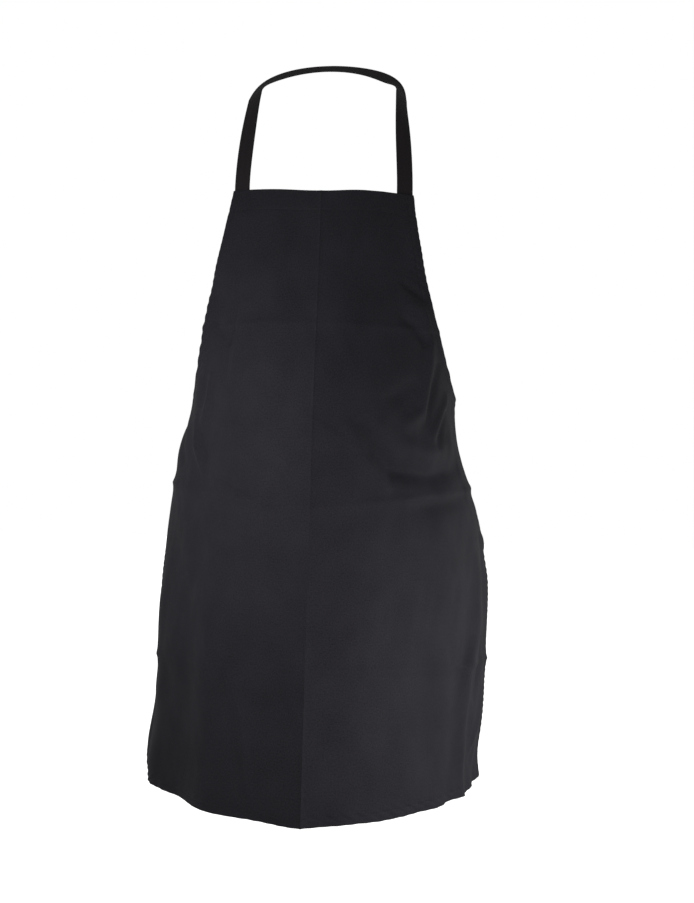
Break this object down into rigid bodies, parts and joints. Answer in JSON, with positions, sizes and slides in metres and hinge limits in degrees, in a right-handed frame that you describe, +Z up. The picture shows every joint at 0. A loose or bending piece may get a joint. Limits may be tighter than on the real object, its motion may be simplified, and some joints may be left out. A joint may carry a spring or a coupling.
{
  "type": "bib apron",
  "caption": "Black woven cloth bib apron shaped as worn, with folded and stitched hems, a sewn neck strap and waist ties.",
  "frame": {"origin": "middle of the neck strap's underside, where it rests on the nape", "axes": "+Z up, -Y out of the apron's front, +X to the viewer's right when looking at the front"},
  "size_m": [0.5136, 0.3747, 1.1311],
  "materials": {
    "cloth": "matt black polycotton twill",
    "tape": "matt black woven tape",
    "thread": "black sewing thread, slight sheen"
  },
  "bodies": {
    "neck": {"neck_strap": "tape"},
    "side_left": {"armhole_hem_lower_left": "cloth", "armhole_seam_lower_left": "thread", "bottom_hem_left": "cloth", "bottom_seam_left": "thread", "panel_side_left": "cloth", "side_hem_left": "cloth", "side_seam_left": "thread", "tie_end_left": "tape", "tie_stitching_left": "thread"},
    "side_right": {"armhole_hem_lower_right": "cloth", "armhole_seam_lower_right": "thread", "bottom_hem_right": "cloth", "bottom_seam_right": "thread", "panel_side_right": "cloth", "side_hem_right": "cloth", "side_seam_right": "thread", "tie_end_right": "tape", "tie_stitching_right": "thread"},
    "tie_left": {"tie_left": "tape"},
    "tie_right": {"tie_right": "tape"},
    "front": {"armhole_hem_upper_left": "cloth", "armhole_hem_upper_right": "cloth", "armhole_seam_upper_left": "thread", "armhole_seam_upper_right": "thread", "bib_top_hem": "cloth", "bib_top_seam": "thread", "bottom_hem_centre": "cloth", "bottom_seam_centre": "thread", "panel_centre": "cloth", "strap_end_left": "tape", "strap_end_right": "tape", "strap_stitching_left": "thread", "strap_stitching_right": "thread"}
  },
  "joints": [
    {"name": "front_swing", "type": "hinge", "parent": "neck", "child": "front", "pos_m": [0, -0.14057, -0.22741], "axis": [-1, 0, 0], "range_deg": [-20, 60]},
    {"name": "side_left_fold", "type": "hinge", "parent": "front", "child": "side_left", "pos_m": [-0.14, -0.135, -0.23], "axis": [0, 0.105, 0.9945], "range_deg": [-20, 60]},
    {"name": "side_right_fold", "type": "hinge", "parent": "front", "child": "side_right", "pos_m": [0.14, -0.135, -0.23], "axis": [0, -0.105, -0.9945], "range_deg": [-20, 60]},
    {"name": "tie_left_swing", "type": "hinge", "parent": "side_left", "child": "tie_left", "pos_m": [-0.17979, 0.07078, -0.54028], "axis": [0.9269, -0.3754, 0], "range_deg": [-5, 95]},
    {"name": "tie_right_swing", "type": "hinge", "parent": "side_right", "child": "tie_right", "pos_m": [0.17979, 0.07078, -0.54028], "axis": [0.9269, 0.3754, 0], "range_deg": [-5, 95]}
  ]
}
